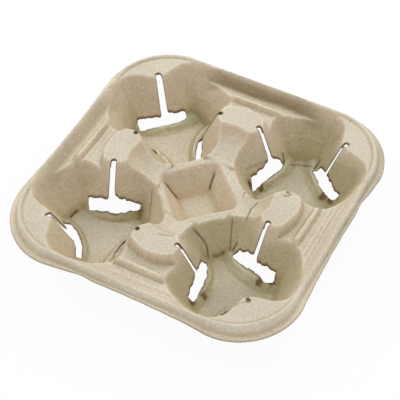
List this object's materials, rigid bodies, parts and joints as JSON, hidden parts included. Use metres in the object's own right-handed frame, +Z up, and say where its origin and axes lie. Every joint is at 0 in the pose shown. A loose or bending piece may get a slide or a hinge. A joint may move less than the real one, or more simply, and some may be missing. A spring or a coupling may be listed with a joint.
{
  "type": "moulded pulp cup carrier",
  "caption": "Square moulded pulp tray with deep cup cells, slit flap walls that grip each cup, a square centre pocket and a stiff flanged rim, for carrying drinks.",
  "frame": {"origin": "on the table, under the middle of the tray, level with the underside of the cup cells", "axes": "+Z up through the open side of the cells, +X and +Y square to two sides of the rim"},
  "size_m": [0.2144, 0.2144, 0.042],
  "materials": {
    "moulded_pulp": "matte, fibrous"
  },
  "bodies": {
    "root": {"carrier": "moulded_pulp"}
  },
  "joints": []
}
